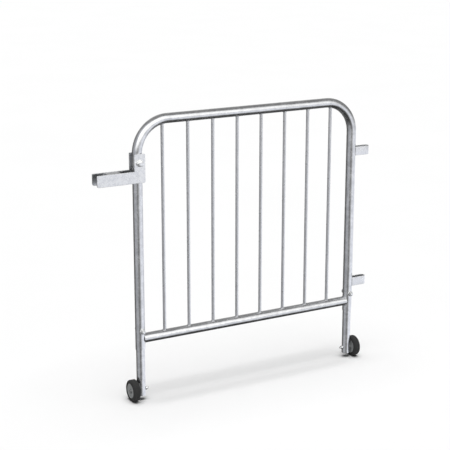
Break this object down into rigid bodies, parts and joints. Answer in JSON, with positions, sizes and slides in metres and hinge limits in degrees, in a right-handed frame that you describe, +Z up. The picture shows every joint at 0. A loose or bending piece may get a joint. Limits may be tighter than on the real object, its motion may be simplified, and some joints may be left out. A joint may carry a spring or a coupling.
{
  "type": "livestock panel gate",
  "caption": "Galvanised tube panel gate with upright bars, wheels on telescopic legs, a pivoting latch fork that drops over a post, and hinge strap loops.",
  "frame": {"origin": "on the ground, in the middle of the overall box", "axes": "+X along the panel from the latch fork to the hinge straps, +Y to the back (leg bolts' heads), +Z up"},
  "size_m": [1.363, 0.095, 1.2462],
  "materials": {
    "galvanised_tube": "hot-dip galvanised, satin with bright streaks",
    "galvanised_plate": "hot-dip galvanised flat bar with zinc spangle",
    "zinc_plated_steel": "bright zinc-plated fasteners",
    "tyre_rubber": "matt black solid rubber",
    "hub_plastic": "moulded grey plastic",
    "bush_nylon": "plain nylon"
  },
  "bodies": {
    "frame": {"frame_hoop": "galvanised_tube", "lower_rail": "galvanised_tube", "bar_1": "galvanised_tube", "bar_2": "galvanised_tube", "bar_3": "galvanised_tube", "bar_4": "galvanised_tube", "bar_5": "galvanised_tube", "bar_6": "galvanised_tube", "bar_7": "galvanised_tube", "bar_8": "galvanised_tube", "hinge_strap_upper": "galvanised_plate", "hinge_strap_lower": "galvanised_plate", "fork_bolt": "zinc_plated_steel", "fork_washer_front": "zinc_plated_steel", "fork_washer_rear": "zinc_plated_steel", "fork_nut": "zinc_plated_steel", "leg_bolt_left": "zinc_plated_steel", "leg_head_washer_left": "zinc_plated_steel", "leg_nut_washer_left": "zinc_plated_steel", "leg_nut_left": "zinc_plated_steel", "leg_bolt_right": "zinc_plated_steel", "leg_head_washer_right": "zinc_plated_steel", "leg_nut_washer_right": "zinc_plated_steel", "leg_nut_right": "zinc_plated_steel"},
    "latch_fork": {"fork_plate_front": "galvanised_plate", "fork_plate_rear": "galvanised_plate", "fork_spacer": "galvanised_plate", "fork_stop": "galvanised_plate"},
    "leg_left": {"leg_left": "galvanised_tube", "axle_bolt_left": "zinc_plated_steel", "axle_head_washer_left": "zinc_plated_steel", "axle_spacer_left": "zinc_plated_steel", "axle_nut_washer_left": "zinc_plated_steel", "axle_nut_left": "zinc_plated_steel"},
    "leg_right": {"leg_right": "galvanised_tube", "axle_bolt_right": "zinc_plated_steel", "axle_head_washer_right": "zinc_plated_steel", "axle_spacer_right": "zinc_plated_steel", "axle_nut_washer_right": "zinc_plated_steel", "axle_nut_right": "zinc_plated_steel"},
    "wheel_left": {"tyre_left": "tyre_rubber", "wheel_hub_left": "hub_plastic", "hub_bush_left": "bush_nylon"},
    "wheel_right": {"tyre_right": "tyre_rubber", "wheel_hub_right": "hub_plastic", "hub_bush_right": "bush_nylon"}
  },
  "joints": [
    {"name": "fork_pivot", "type": "hinge", "parent": "frame", "child": "latch_fork", "pos_m": [-0.4885, 0, 1.052], "axis": [0, 1, 0], "range_deg": [0, 90]},
    {"name": "leg_slide_left", "type": "slide", "parent": "frame", "child": "leg_left", "axis": [0, 0, 1], "range_m": [-0.09, 0.06]},
    {"name": "leg_slide_right", "type": "slide", "parent": "frame", "child": "leg_right", "axis": [0, 0, 1], "range_m": [-0.09, 0.06]},
    {"name": "wheel_spin_left", "type": "hinge", "parent": "leg_left", "child": "wheel_left", "pos_m": [-0.5255, 0, 0.0475], "axis": [1, 0, 0], "continuous": true},
    {"name": "wheel_spin_right", "type": "hinge", "parent": "leg_right", "child": "wheel_right", "pos_m": [0.6235, 0, 0.0475], "axis": [1, 0, 0], "continuous": true}
  ]
}
